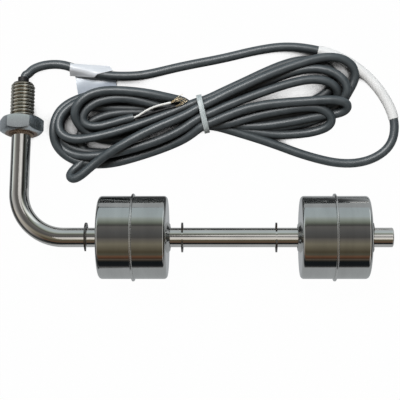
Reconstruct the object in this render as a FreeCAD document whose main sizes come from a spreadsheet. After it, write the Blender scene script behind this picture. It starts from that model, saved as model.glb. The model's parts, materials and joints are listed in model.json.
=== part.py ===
# Float level switch with a bent stainless stem, two magnetic floats, a threaded hex fitting and a tied cable.
# The stem frame has its origin where the stem and leg axes cross: X along the stem to its tip, Y up the leg.
# The part lies on its two float beads and on the hex, so the whole stem frame is turned about X to rest.
import FreeCAD, Part
import math
import os
import Sketcher
from FreeCAD import Placement, Rotation, Vector

SIZES = [
    ("stemDiameter", 12.7, "outside of the bent stem, half-inch tube"),
    ("stemWall", 1.65, "wall of the stem"),
    ("bendRadius", 30.0, "centreline radius of the right-angle bend"),
    ("stemLength", 244.5, "leg axis to the tip"),
    ("plugHead", 5.4, "length of the welded end plug outside the tube"),
    ("plugSpigot", 5.0, "length of the end plug inside the tube"),
    ("plugRound", 0.8, "rounding of the tip"),
    ("legToHex", 70.0, "stem axis to the near face of the hex"),
    ("hexAcrossFlats", 25.4, "hex of the fitting"),
    ("hexThickness", 10.5, "hex face to face"),
    ("nearChamferInset", 1.7, "stem-side chamfer starts inside the flats"),
    ("farChamferInset", 0.5, "thread-side chamfer starts inside the flats"),
    ("hexChamferSlope", 0.577, "rise over run of both hex chamfers"),
    ("socketDepth", 7.5, "how far the tube sits in the fitting"),
    ("weldLeg", 1.6, "leg of the fillet weld round the tube"),
    ("threadDiameter", 15.875, "major diameter of the nipple, 5/8 inch"),
    ("nippleLength", 24.5, "nipple beyond the hex"),
    ("nippleChamfer", 2.3, "lead-in at the nipple's end"),
    ("nippleBore", 8.8, "cable way through the fitting"),
    ("firstStop", 44.8, "leg axis to the first retaining ring"),
    ("stopSpan", 62.6, "ring to ring across one float"),
    ("lastStop", 13.3, "last retaining ring to the tip"),
    ("grooveDepth", 0.8, "ring grooves below the tube's surface"),
    ("grooveClearance", 0.1, "groove wider than the ring"),
    ("ringProud", 3.35, "E-ring beyond the tube's surface"),
    ("ringRelief", 0.95, "E-ring clear of the tube between its lugs"),
    ("ringThickness", 1.07, "E-ring stock"),
    ("ringMouth", 84.0, "angle of the open mouth, in degrees"),
    ("ringLug", 26.0, "angle of each lug, in degrees"),
    ("floatDiameter", 54.0, "outside of a float cup"),
    ("floatLength", 44.5, "float without its hubs"),
    ("floatCorner", 2.2, "outer corner radius of a cup"),
    ("cupWall", 0.6, "sheet of the drawn cups"),
    ("beadProud", 1.5, "welded equator beyond the cups"),
    ("beadLip", 0.75, "thickness of one cup's lip"),
    ("lipRound", 0.45, "rounding of a lip's outer edge"),
    ("hubProud", 1.8, "hub beyond the end wall"),
    ("hubFlat", 0.85, "width of the hub's flat round the bore tube"),
    ("hubSpread", 1.9, "hub wider where it leaves the end wall"),
    ("floatClearance", 0.75, "play of a float round the stem"),
    ("boreTubeWall", 0.65, "wall of the bore tube"),
    ("magnetThickness", 5.25, "ring magnet, bore tube to its outside"),
    ("magnetLength", 10.0, "ring magnet length"),
    ("lowerRestGap", 6.2, "first float's rest gap to its first ring"),
    ("upperRestGap", 0.15, "second float's rest gap to its last ring"),
    ("reedDiameter", 2.5, "glass reed capsule"),
    ("reedLength", 14.0, "glass reed capsule"),
    ("reedClearance", 0.25, "reed sleeve clear of the stem's wall"),
    ("bladeWidth", 0.9, "reed blade"),
    ("bladeThickness", 0.3, "reed blade"),
    ("bladeOverlap", 1.5, "where the two blades lie over each other"),
    ("bladeGap", 0.12, "open contact"),
    ("leadLength", 7.0, "blade outside the glass"),
    ("reedGlass", 0.45, "wall of the glass"),
    ("reedSeal", 2.2, "glass fused round each blade"),
    ("reedRound", 0.75, "rounding of the glass ends"),
    ("reedSleeveWall", 0.3, "clear sleeve on a capsule"),
    ("reedSleeveOverhang", 2.0, "sleeve beyond each end of the glass"),
    ("innerWire", 1.3, "lead wire inside the stem"),
    ("innerWireOffset", 1.2, "wire axis off the stem axis"),
    ("cableDiameter", 6.0, "jacket of the two-core cable"),
    ("cableInset", 18.0, "jacket inside the fitting"),
    ("exitSleeveWall", 0.6, "black sleeve at the cable exit"),
    ("exitSleeveInset", 8.0, "sleeve inside the fitting"),
    ("exitSleeveProud", 4.0, "sleeve outside the fitting"),
    ("exitStraight", 1.5, "cable straight out of its sleeve"),
    ("pottingDepth", 12.0, "epoxy behind the nipple's end"),
    ("pottingRecess", 0.5, "epoxy below the nipple's end"),
    ("hankThickness", 16.4, "layers of the tied hank"),
    ("hankWaist", 23.0, "hank across, where the tie holds it"),
    ("hankChamfer", 3.0, "bevel of the hank's edges"),
    ("floorGap", 0.1, "cable pieces above the floor"),
    ("tieWidth", 3.6, "cable tie"),
    ("tieThickness", 1.15, "cable tie"),
    ("tieHeadLength", 5.5, "head of the tie, across the bundle"),
    ("tieHeadHeight", 4.2, "head of the tie"),
    ("whiteSleeveWall", 0.45, "white identification sleeve"),
    ("labelThickness", 0.25, "marker label"),
    ("labelWidth", 26.0, "marker label along the cable"),
    ("labelLoop", 14.6, "label's loop across the cable"),
    ("labelSlope", 1.5, "each side of the loop leans in"),
    ("labelTail", 17.0, "flag beyond the loop"),
    ("labelTailWidth", 28.0, "flag along the cable"),
    ("coreDiameter", 1.7, "one insulated core"),
    ("strandDiameter", 0.9, "bare end of a core"),
    ("strandLength", 8.0, "bare end of a core"),
]


class Size:
    """A number together with the sheet expression that gives it."""

    def __init__(self, value, text):
        self.value = value
        self.text = text

    def joined(self, other, sign, value):
        text = other.text if isinstance(other, Size) else repr(float(other))
        return Size(value, "(%s %s %s)" % (self.text, sign, text))

    def __add__(self, other):
        return self.joined(other, "+", self.value + number(other))

    def __sub__(self, other):
        return self.joined(other, "-", self.value - number(other))

    def __mul__(self, other):
        return self.joined(other, "*", self.value * number(other))

    def __truediv__(self, other):
        return self.joined(other, "/", self.value / number(other))

    def __neg__(self):
        return self * -1


def number(size):
    return size.value if isinstance(size, Size) else float(size)


doc = FreeCAD.newDocument("LevelSwitch")
sheet = doc.addObject("Spreadsheet::Sheet", "Sizes")
size = {}
for row, (alias, value, note) in enumerate(SIZES, start=1):
    sheet.set("A%d" % row, alias)
    sheet.set("B%d" % row, str(value))
    sheet.set("C%d" % row, note)
    sheet.setAlias("B%d" % row, alias)
    size[alias] = Size(value, "Sizes." + alias)
doc.recompute()

# cutting outlines reach this far past the face they open
OVERCUT = 1.0
# an arc of the cable leaves this share of its shorter run on each side
ARC_SHARE = 0.45

# sizes that several pieces share
stemRadius = size["stemDiameter"] / 2
boreRadius = stemRadius - size["stemWall"]
grooveRadius = stemRadius - size["grooveDepth"]
tubeEnd = size["stemLength"] - size["plugHead"]
tubeTop = size["legToHex"] + size["socketDepth"]
hexFar = size["legToHex"] + size["hexThickness"]
hexCorner = size["hexAcrossFlats"] / math.sqrt(3)
nippleEnd = hexFar + size["nippleLength"]
nippleRadius = size["threadDiameter"] / 2
nippleTipRadius = nippleRadius - size["nippleChamfer"]
cableRadius = size["cableDiameter"] / 2
exitSleeveRadius = cableRadius + size["exitSleeveWall"]
floatHalf = size["floatLength"] / 2
floatOverall = floatHalf + size["hubProud"]
cupRadius = size["floatDiameter"] / 2
beadRadius = cupRadius + size["beadProud"]
tubeInner = stemRadius + size["floatClearance"]
tubeOuter = tubeInner + size["boreTubeWall"]
hubTop = tubeOuter + size["hubFlat"]
hubBase = hubTop + size["hubSpread"]
reedRadius = size["reedDiameter"] / 2
reedOffset = boreRadius - size["reedClearance"] - size["reedSleeveWall"] - reedRadius
halfRing = size["ringThickness"] / 2
stops = [
    size["firstStop"],
    size["firstStop"] + size["stopSpan"],
    size["stemLength"] - size["lastStop"] - size["stopSpan"],
    size["stemLength"] - size["lastStop"],
]
levelPitch = stops[2] - stops[0]
RING_CLOCKING = (-60, 185, 170, 200)
floatCentre = {
    1: stops[0] + halfRing + size["lowerRestGap"] + floatOverall,
    2: stops[3] - halfRing - size["upperRestGap"] - floatOverall,
}


def restingTilt():
    """Angle that brings the leg down until the hex or the nipple meets the floor under the beads."""
    angles = []
    for along, radius in (
        (hexFar, size["hexAcrossFlats"] / 2),
        (nippleEnd - size["nippleChamfer"], nippleRadius),
    ):
        reach = math.hypot(along.value, radius.value)
        lean = math.atan2(radius.value, along.value)
        angles.append(math.asin(beadRadius.value / reach) - lean)
    return min(angles)


# the part's own frame: floor at Z 0, origin under the middle of the object without its cable
tilt = restingTilt()
highY = nippleEnd.value * math.cos(tilt) + nippleTipRadius.value * math.sin(tilt)
middle = Vector(
    (size["stemLength"].value - hexCorner.value) / 2, (highY - beadRadius.value) / 2, 0
)
stemPlace = Placement(
    Vector(-middle.x, -middle.y, beadRadius.value), Rotation(Vector(1, 0, 0), -math.degrees(tilt))
)


def shifted(along):
    """The stem frame moved along the stem."""
    return stemPlace.multiply(Placement(Vector(number(along), 0, 0), Rotation()))


def originPlane(body, role):
    return next(f for f in body.Origin.OriginFeatures if f.Role == role)


def newBody(label, place=None):
    body = doc.addObject("PartDesign::Body", label)
    body.Label = label
    body.Placement = place or stemPlace
    return body


def newSketch(body, name, role="XY_Plane", lift=None):
    sketch = body.newObject("Sketcher::SketchObject", name)
    sketch.AttachmentSupport = (originPlane(body, role), [""])
    sketch.MapMode = "FlatFace"
    if lift is not None:
        sketch.AttachmentOffset = Placement(Vector(0, 0, number(lift)), Rotation())
        sketch.setExpression("AttachmentOffset.Base.z", lift.text)
    return sketch


def hold(sketch, kind, vertex, place):
    """Fix one coordinate of a vertex, to an axis where it is zero."""
    geometry, point = vertex
    if number(place) == 0:
        axis = -2 if kind == "DistanceX" else -1
        sketch.addConstraint(Sketcher.Constraint("PointOnObject", geometry, point, axis))
        return
    index = sketch.addConstraint(
        Sketcher.Constraint(kind, -1, 1, geometry, point, number(place))
    )
    if isinstance(place, Size):
        sketch.setExpression("Constraints[%d]" % index, place.text)


def drawOutline(sketch, corners):
    """A closed outline of straight lines through corners given as pairs of sizes."""
    first = sketch.GeometryCount
    points = [Vector(number(a), number(b), 0) for a, b in corners]
    count = len(points)
    for i in range(count):
        sketch.addGeometry(Part.LineSegment(points[i], points[(i + 1) % count]), False)
    for i in range(count):
        sketch.addConstraint(
            Sketcher.Constraint("Coincident", first + i, 2, first + (i + 1) % count, 1)
        )
    for i, (a, b) in enumerate(corners):
        hold(sketch, "DistanceX", (first + i, 1), a)
        hold(sketch, "DistanceY", (first + i, 1), b)


def drawCircle(sketch, radius, a=0, b=0):
    index = sketch.addGeometry(
        Part.Circle(Vector(number(a), number(b), 0), Vector(0, 0, 1), number(radius)), False
    )
    hold(sketch, "DistanceX", (index, 3), a)
    hold(sketch, "DistanceY", (index, 3), b)
    bound = sketch.addConstraint(Sketcher.Constraint("Radius", index, number(radius)))
    sketch.setExpression("Constraints[%d]" % bound, radius.text)


def turn(body, name, corners, axis="H_Axis", cut=False):
    """Revolve an outline about a sketch axis, to add or to cut."""
    sketch = newSketch(body, name + "Outline")
    drawOutline(sketch, corners)
    kind = "PartDesign::Groove" if cut else "PartDesign::Revolution"
    feature = body.newObject(kind, name)
    feature.Profile = sketch
    feature.ReferenceAxis = (sketch, [axis])
    feature.Angle = 360
    doc.recompute()
    return feature


def roundEdges(body, name, radius, wanted):
    """Fillet the circular edges at the wanted (axial place, radius) pairs of the body's own X axis."""
    base = body.Tip
    names = []
    for index, edge in enumerate(base.Shape.Edges, start=1):
        if not isinstance(edge.Curve, Part.Circle):
            continue
        spot = (edge.Curve.Center.x, edge.Curve.Radius)
        if any(math.dist(spot, (number(a), number(r))) < 1e-4 for a, r in wanted):
            names.append("Edge%d" % index)
    feature = body.newObject("PartDesign::Fillet", name)
    feature.Base = (base, names)
    feature.Radius = number(radius)
    feature.setExpression("Radius", radius.text)
    doc.recompute()


def ringOutline(start, end, inner, outer):
    return [(start, inner), (end, inner), (end, outer), (start, outer)]


# ---- stem, end plug and fitting ----
def makeStem():
    body = newBody("stem_tube")
    path = newSketch(body, "StemPath")
    bend = size["bendRadius"]
    bendStart = Vector(bend.value, 0, 0)
    bendEnd = Vector(0, bend.value, 0)
    circle = Part.Circle(bendStart + bendEnd, Vector(0, 0, 1), bend.value)
    path.addGeometry(Part.LineSegment(Vector(tubeEnd.value, 0, 0), bendStart), False)
    path.addGeometry(Part.ArcOfCircle(circle, math.pi, 1.5 * math.pi), False)
    path.addGeometry(Part.LineSegment(bendEnd, Vector(0, tubeTop.value, 0)), False)
    path.addConstraint(Sketcher.Constraint("Coincident", 0, 2, 1, 2))
    path.addConstraint(Sketcher.Constraint("Coincident", 1, 1, 2, 1))
    hold(path, "DistanceX", (0, 1), tubeEnd)
    hold(path, "DistanceY", (0, 1), 0)
    hold(path, "DistanceX", (0, 2), bend)
    hold(path, "DistanceY", (0, 2), 0)
    hold(path, "DistanceX", (1, 3), bend)
    hold(path, "DistanceX", (2, 1), 0)
    hold(path, "DistanceY", (2, 1), bend)
    hold(path, "DistanceX", (2, 2), 0)
    hold(path, "DistanceY", (2, 2), tubeTop)
    section = newSketch(body, "StemSection", "YZ_Plane", tubeEnd)
    drawCircle(section, stemRadius)
    drawCircle(section, boreRadius)
    doc.recompute()
    pipe = body.newObject("PartDesign::AdditivePipe", "BentTube")
    pipe.Profile = section
    pipe.Spine = (path, [])
    doc.recompute()
    reach = halfRing + size["grooveClearance"] / 2
    sketch = newSketch(body, "GrooveOutline")
    for stop in stops[:2]:
        outside = stemRadius + OVERCUT
        drawOutline(sketch, ringOutline(stop - reach, stop + reach, grooveRadius, outside))
    groove = body.newObject("PartDesign::Groove", "StationGrooves")
    groove.Profile = sketch
    groove.ReferenceAxis = (sketch, ["H_Axis"])
    groove.Angle = 360
    doc.recompute()
    pattern = body.newObject("PartDesign::LinearPattern", "Stations")
    pattern.Originals = [groove]
    pattern.Direction = (sketch, ["H_Axis"])
    pattern.Length = levelPitch.value
    pattern.setExpression("Length", levelPitch.text)
    pattern.Occurrences = 2
    body.Tip = pattern
    return body


def makeEndPlug():
    body = newBody("end_plug")
    inside = tubeEnd - size["plugSpigot"]
    tip = size["stemLength"]
    turn(
        body,
        "PlugTurned",
        [
            (inside, 0),
            (tip, 0),
            (tip, stemRadius),
            (tubeEnd, stemRadius),
            (tubeEnd, boreRadius),
            (inside, boreRadius),
        ],
    )
    roundEdges(body, "PlugTip", size["plugRound"], [(tip, stemRadius)])
    return body


def makeFitting():
    body = newBody("hex_fitting")
    near = size["legToHex"]
    sketch = newSketch(body, "HexOutline", "XZ_Plane", -near)
    half = size["hexAcrossFlats"] / 2
    drawOutline(
        sketch,
        [
            (hexCorner, 0),
            (hexCorner / 2, half),
            (-hexCorner / 2, half),
            (-hexCorner, 0),
            (-hexCorner / 2, -half),
            (hexCorner / 2, -half),
        ],
    )
    pad = body.newObject("PartDesign::Pad", "Hex")
    pad.Profile = sketch
    pad.Length = size["hexThickness"].value
    pad.setExpression("Length", size["hexThickness"].text)
    pad.Reversed = True
    doc.recompute()
    turn(
        body,
        "Nipple",
        [
            (0, hexFar - OVERCUT),
            (nippleRadius, hexFar - OVERCUT),
            (nippleRadius, nippleEnd - size["nippleChamfer"]),
            (nippleTipRadius, nippleEnd),
            (0, nippleEnd),
        ],
        "V_Axis",
    )
    outside = hexCorner + OVERCUT
    for name, inset, face, sign in (
        ("NearChamfer", size["nearChamferInset"], near, 1),
        ("FarChamfer", size["farChamferInset"], hexFar, -1),
    ):
        circle = half - inset
        rise = (outside - circle) * size["hexChamferSlope"] * sign
        turn(body, name, [(circle, face), (outside, face), (outside, face + rise)], "V_Axis", cut=True)
    way = size["nippleBore"] / 2
    turn(
        body,
        "Ways",
        [
            (0, near - OVERCUT),
            (stemRadius, near - OVERCUT),
            (stemRadius, tubeTop),
            (way, tubeTop),
            (way, nippleEnd + OVERCUT),
            (0, nippleEnd + OVERCUT),
        ],
        "V_Axis",
        cut=True,
    )
    return body


def makeWeld():
    body = newBody("fitting_weld")
    near = size["legToHex"]
    leg = size["weldLeg"]
    turn(body, "Weld", [(stemRadius, near), (stemRadius + leg, near), (stemRadius, near - leg)], "V_Axis")
    return body


def makeSleeveAndPotting():
    sleeve = newBody("cable_exit_sleeve")
    start = nippleEnd - size["exitSleeveInset"]
    end = nippleEnd + size["exitSleeveProud"]
    turn(
        sleeve,
        "ExitSleeve",
        [(cableRadius, start), (exitSleeveRadius, start), (exitSleeveRadius, end), (cableRadius, end)],
        "V_Axis",
    )
    potting = newBody("potting_plug")
    way = size["nippleBore"] / 2
    back = nippleEnd - size["pottingDepth"]
    front = nippleEnd - size["pottingRecess"]
    turn(
        potting,
        "Potting",
        [
            (cableRadius, back),
            (way, back),
            (way, front),
            (exitSleeveRadius, front),
            (exitSleeveRadius, start),
            (cableRadius, start),
        ],
        "V_Axis",
    )
    return [sleeve, potting]


# ---- E-rings: a disc less its bore, two reliefs and the mouth ----
def pieSlice(name, radius, start, sweep, deep):
    piece = doc.addObject("Part::Cylinder", name)
    piece.Radius = radius.value
    piece.setExpression("Radius", radius.text)
    piece.Height = deep.value
    piece.setExpression("Height", deep.text)
    piece.Angle = number(sweep)
    if isinstance(sweep, Size):
        piece.setExpression("Angle", sweep.text)
    piece.Placement = Placement(Vector(), Rotation(Vector(0, 0, 1), number(start)))
    return piece


def makeRing(index, stop, clocking):
    thick = size["ringThickness"]
    label = "retaining_ring_%d" % index
    outer = stemRadius + size["ringProud"]
    inner = stemRadius + size["ringRelief"]
    disc = pieSlice(label + "Disc", outer, 0, 360, thick)
    grip = pieSlice(label + "Grip", grooveRadius, 0, 360, thick)
    mouth = pieSlice(label + "Mouth", outer * 2, -size["ringMouth"] / 2, size["ringMouth"], thick)
    lugEnd = size["ringMouth"] / 2 + size["ringLug"]
    backLugStart = -(size["ringLug"] / 2 - 180)
    relief = backLugStart - lugEnd
    reliefs = [
        pieSlice(label + "ReliefA", inner, lugEnd, relief, thick),
        pieSlice(label + "ReliefB", inner, -lugEnd - relief, relief, thick),
    ]
    removed = doc.addObject("Part::MultiFuse", label + "Removed")
    removed.Shapes = [grip, mouth] + reliefs
    ring = doc.addObject("Part::Cut", label)
    ring.Label = label
    ring.Base = disc
    ring.Tool = removed
    upright = Rotation(Vector(0, 1, 0), 90).multiply(Rotation(Vector(0, 0, 1), clocking))
    ring.Placement = stemPlace.multiply(Placement(Vector((stop - halfRing).value, 0, 0), upright))
    return ring


# ---- floats: two drawn cups welded at the equator, a bore tube and a ring magnet ----
def cupOutline(side):
    """Section of one cup from its lip to its hub, on the given side of the equator."""
    wall = size["cupWall"]
    lip = size["beadLip"]
    end = floatHalf
    top = floatOverall
    hubLean = math.atan2(size["hubProud"].value, size["hubSpread"].value)
    slantTrim = wall * math.tan(hubLean / 2)
    corners = [
        (0, beadRadius),
        (lip, beadRadius),
        (lip, cupRadius),
        (end, cupRadius),
        (end, hubBase),
        (top, hubTop),
        (top, tubeOuter),
        (top - wall, tubeOuter),
        (top - wall, hubTop - slantTrim),
        (end - wall, hubBase - slantTrim),
        (end - wall, cupRadius - wall),
        (0, cupRadius - wall),
    ]
    return [(a * side if isinstance(a, Size) else a, b) for a, b in corners]


def makeFloat(index):
    place = shifted(floatCentre[index])
    made = []
    wall = size["cupWall"]
    for side, word in ((-1, "inner"), (1, "outer")):
        cup = newBody("float_%d_%s_cup" % (index, word), place)
        turn(cup, "Drawn", cupOutline(side))
        end = floatHalf * side
        inside = (floatHalf - wall) * side
        roundEdges(cup, "OuterCorner", size["floatCorner"], [(end, cupRadius)])
        roundEdges(cup, "InnerCorner", size["floatCorner"] - wall, [(inside, cupRadius - wall)])
        roundEdges(cup, "HubEdge", wall, [(floatOverall * side, hubTop)])
        roundEdges(cup, "LipEdge", size["lipRound"], [(size["beadLip"] * side, beadRadius)])
        made.append(cup)
    tube = newBody("float_%d_bore_tube" % index, place)
    turn(tube, "BoreTube", ringOutline(-floatOverall, floatOverall, tubeInner, tubeOuter))
    magnet = newBody("float_%d_magnet" % index, place)
    half = size["magnetLength"] / 2
    turn(magnet, "Magnet", ringOutline(-half, half, tubeOuter, tubeOuter + size["magnetThickness"]))
    return made + [tube, magnet]


# ---- reed switches and lead wires inside the stem ----
def rod(start, end, radius):
    axis = end - start
    return Part.makeCylinder(radius, axis.Length, start, axis)


def feature(label, shape, place=None):
    piece = doc.addObject("Part::Feature", label)
    piece.Label = label
    piece.Shape = shape
    piece.Placement = place or stemPlace
    return piece


def makeReed(index):
    """Glass capsule round two overlapping blades whose leads turn to the two lead wires."""
    place = shifted(floatCentre[index])
    half = size["reedLength"].value / 2
    out = half + size["leadLength"].value
    off = Vector(0, reedOffset.value, 0)
    wide = size["bladeWidth"].value
    thick = size["bladeThickness"].value
    lap = size["bladeOverlap"].value / 2
    step = (size["bladeGap"].value + thick) / 2
    blades = []
    for side in (-1, 1):
        low, high = sorted((side * out, -side * lap))
        foot = low if side < 0 else high - wide
        level = side * step - thick / 2
        blade = Part.makeBox(high - low, wide, thick, Vector(low, off.y - wide / 2, level))
        toWire = Part.makeBox(wide, off.y + wide / 2, thick, Vector(foot, 0, level))
        blades.append(blade.fuse(toWire).removeSplitter())
    radius = reedRadius.value
    glass = rod(Vector(-half, 0, 0) + off, Vector(half, 0, 0) + off, radius)
    rims = [e for e in glass.Edges if isinstance(e.Curve, Part.Circle)]
    glass = glass.makeFillet(size["reedRound"].value, rims)
    hollow = half - size["reedSeal"].value
    within = radius - size["reedGlass"].value
    gas = rod(Vector(-hollow, 0, 0) + off, Vector(hollow, 0, 0) + off, within)
    glass = glass.cut([gas] + blades)
    reach = half + size["reedSleeveOverhang"].value
    start = Vector(-reach, 0, 0) + off
    end = Vector(reach, 0, 0) + off
    sleeve = rod(start, end, radius + size["reedSleeveWall"].value).cut(rod(start, end, radius))
    return [
        feature("reed_capsule_%d" % index, glass, place),
        feature("reed_blades_%d" % index, Part.makeCompound(blades), place),
        feature("reed_sleeve_%d" % index, sleeve, place),
    ]


def makeInnerWire(label, side):
    """A lead wire from the last reed round the bend to the end of the cable's jacket."""
    bend = size["bendRadius"].value
    height = side * size["innerWireOffset"].value
    far = floatCentre[2].value + size["reedLength"].value / 2 + size["leadLength"].value
    top = nippleEnd.value - size["cableInset"].value
    mid = bend * (1 - math.cos(math.pi / 4))
    bendStart = Vector(bend, 0, height)
    bendEnd = Vector(0, bend, height)
    path = Part.Wire(
        [
            Part.LineSegment(Vector(far, 0, height), bendStart).toShape(),
            Part.Arc(bendStart, Vector(mid, mid, height), bendEnd).toShape(),
            Part.LineSegment(bendEnd, Vector(0, top, height)).toShape(),
        ]
    )
    return feature(label, pipeAlong(path, size["innerWire"].value / 2))


# ---- cable: a run laid on the floor, a tied hank, and what is on it ----
def pipeAlong(path, outer, inner=None):
    """A round bar or tube swept along a wire."""
    edge = path.OrderedEdges[0]
    start = edge.valueAt(edge.FirstParameter)
    heading = edge.tangentAt(edge.FirstParameter)
    if path.OrderedVertexes[0].Point.distanceToPoint(start) > 1e-6:
        start = edge.valueAt(edge.LastParameter)
        heading = edge.tangentAt(edge.LastParameter) * -1

    def swept(radius):
        ring = Part.Wire([Part.Circle(start, heading, radius).toShape()])
        return path.makePipeShell([ring], True, False)

    return swept(outer).cut(swept(inner)) if inner else swept(outer)


def bentPath(points):
    """Straight runs joined by tangent arcs as large as their two runs allow."""
    edges = []
    radii = []
    at = points[0]
    for before, corner, after in zip(points, points[1:], points[2:]):
        inward = before - corner
        onward = after - corner
        trim = ARC_SHARE * min(inward.Length, onward.Length)
        turned = math.pi - inward.getAngle(onward)
        radius = trim / math.tan(turned / 2)
        inward.normalize()
        onward.normalize()
        start = corner + inward * trim
        end = corner + onward * trim
        bisector = inward + onward
        bisector.normalize()
        mid = corner + bisector * radius * (1 / math.cos(turned / 2) - 1)
        edges += [Part.LineSegment(at, start).toShape(), Part.Arc(start, mid, end).toShape()]
        radii.append(radius)
        at = end
    edges.append(Part.LineSegment(at, points[-1]).toShape())
    return Part.Wire(edges), radii


# the run's points after the fitting, in the part's own frame
CABLE_ROUTE = [
    (-112.4, 75.7, 5.0),
    (-105.4, 78.5, 3.8),
    (-95.5, 78.6, 3.3),
    (-83.0, 76.3, 3.3),
    (-68.0, 71.9, 3.3),
    (-52.0, 69.8, 3.3),
    (-33.9, 71.3, 3.1),
    (-8.8, 77.5, 3.1),
    (18.2, 82.5, 3.1),
    (41.1, 88.2, 3.1),
    (61.0, 91.1, 3.15),
    (80.9, 88.9, 3.55),
    (99.0, 83.3, 3.55),
    (114.9, 72.5, 3.55),
    (127.4, 57.9, 3.55),
    (135.3, 40.9, 3.2),
    (133.0, 24.2, 3.1),
    (119.3, 13.9, 3.1),
    (99.9, 11.1, 3.1),
    (75.7, 16.6, 3.1),
    (50.0, 26.2, 3.6),
    (30.0, 32.3, 5.0),
    (12.5, 37.3, 6.4),
]
# the stretch of the route that the white sleeve covers
SLEEVE_STRETCH = slice(11, 15)

# the hank seen from above, anticlockwise from the right of the tie, less its waist
HANK_RIGHT = [
    (24.0, 37.6), (55.0, 32.0), (76.0, 32.5), (93.0, 38.0), (104.0, 47.0), (105.0, 61.0),
    (100.0, 70.0), (88.0, 77.0), (72.0, 81.5), (54.0, 77.5), (38.0, 71.5), (20.0, 64.5),
]
HANK_LEFT = [
    (-20.0, 59.5), (-44.0, 63.0), (-62.0, 63.0), (-80.0, 58.5), (-92.0, 50.0), (-98.0, 38.0),
    (-96.0, 24.0), (-87.0, 14.0), (-88.0, 3.0), (-80.0, -1.0), (-64.0, 7.0), (-37.0, 13.5),
    (-19.0, 21.0),
]
TIE_CENTRE = Vector(5.5, 44.6, 0)
TIE_TURN = 13.0
LABEL_CENTRE = Vector(-70.6, 73.3, 0)
LABEL_TAIL_SHIFT = 4.0
WHITE_CORE = [(-43.0, 41.5), (-35.0, 46.0), (-26.0, 50.0), (-16.0, 52.6)]
BLACK_CORE = [(-42.0, 38.5), (-34.0, 42.6), (-24.5, 47.0), (-12.7, 50.2)]


def runPoints():
    """The whole route: from inside the fitting, straight out of the sleeve, then along the floor."""
    inside = nippleEnd - size["cableInset"]
    outside = nippleEnd + size["exitSleeveProud"] + size["exitStraight"]
    exits = [stemPlace.multVec(Vector(0, along.value, 0)) for along in (inside, outside)]
    return exits + [Vector(*point) for point in CABLE_ROUTE]


def makeCable():
    points = runPoints()
    path, radii = bentPath(points)
    print("cable run radii mm:", " ".join("%.1f" % r for r in radii))
    run = pipeAlong(path, cableRadius.value)
    expected = math.pi * cableRadius.value ** 2 * path.Length
    share = run.Volume / expected
    print("cable run %.1f mm long, volume by section x length %.4f" % (path.Length, share))
    lead = len(points) - len(CABLE_ROUTE)
    first = 2 * (lead + SLEEVE_STRETCH.start)
    last = 2 * (lead + SLEEVE_STRETCH.stop) - 1
    covered = Part.Wire(path.OrderedEdges[first:last])
    sleeve = pipeAlong(covered, (cableRadius + size["whiteSleeveWall"]).value, cableRadius.value)
    return [feature("cable_run", run, Placement()), feature("white_sleeve", sleeve, Placement())]


tiePlace = Placement(TIE_CENTRE, Rotation(Vector(0, 0, 1), TIE_TURN))
hankFloor = (size["floorGap"] + size["tieThickness"]).value
hankTop = hankFloor + size["hankThickness"].value


def tieBox(across, height, low, wide):
    """A block square to the bundle, centred on the tie."""
    block = Part.makeBox(wide, across, height, Vector(-wide / 2, -across / 2, low))
    block.Placement = tiePlace
    return block


def makeHank():
    """The tied turns as one closed form, pinched to the waist that the tie holds."""
    half = size["hankWaist"].value / 2
    reach = size["tieWidth"].value
    waist = [
        tiePlace.multVec(Vector(x, y, 0))
        for x, y in ((-reach, -half), (reach, -half), (reach, half), (-reach, half))
    ]
    corners = [Vector(x, y, 0) for x, y in HANK_RIGHT] + waist[2:]
    corners += [Vector(x, y, 0) for x, y in HANK_LEFT] + waist[:2]
    outline = Part.makePolygon([c + Vector(0, 0, hankFloor) for c in corners + corners[:1]])
    solid = Part.Face(outline).extrude(Vector(0, 0, size["hankThickness"].value))
    rims = [e for e in solid.Edges if abs(e.CenterOfMass.z - hankTop) < 1e-6]
    solid = solid.makeChamfer(size["hankChamfer"].value, rims)
    clear = 2 * size["floorGap"].value
    headLength = size["tieHeadLength"].value + clear
    pocket = tieBox(headLength, size["tieHeadHeight"].value, 0, size["tieWidth"].value + clear)
    return feature("cable_hank", solid.cut(pocket), Placement())


def makeTie():
    """A nylon strap drawn round the waist, with its head under the bundle."""
    thick = size["tieThickness"].value
    wide = size["tieWidth"].value
    across = size["hankWaist"].value
    height = size["hankThickness"].value
    low = size["floorGap"].value
    bevel = size["hankChamfer"].value
    outer = tieBox(across + 2 * thick, height + 2 * thick, low, wide)
    inner = tieBox(across, height, low + thick, 2 * wide)
    outer = outer.makeChamfer(bevel, lengthwise(outer, low + height + 2 * thick))
    inner = inner.makeChamfer(bevel, lengthwise(inner, low + thick + height))
    head = tieBox(size["tieHeadLength"].value, size["tieHeadHeight"].value - low, low, wide)
    return feature("cable_tie", outer.cut(inner).fuse(head).removeSplitter(), Placement())


def lengthwise(block, top):
    """The two top edges of a tie block that run along the bundle."""
    along = Vector(math.cos(math.radians(TIE_TURN)), math.sin(math.radians(TIE_TURN)), 0)
    picked = []
    for edge in block.Edges:
        heading = edge.tangentAt(edge.FirstParameter)
        if abs(edge.CenterOfMass.z - top) < 1e-6 and abs(heading.dot(along)) > 0.99:
            picked.append(edge)
    return picked


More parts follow.
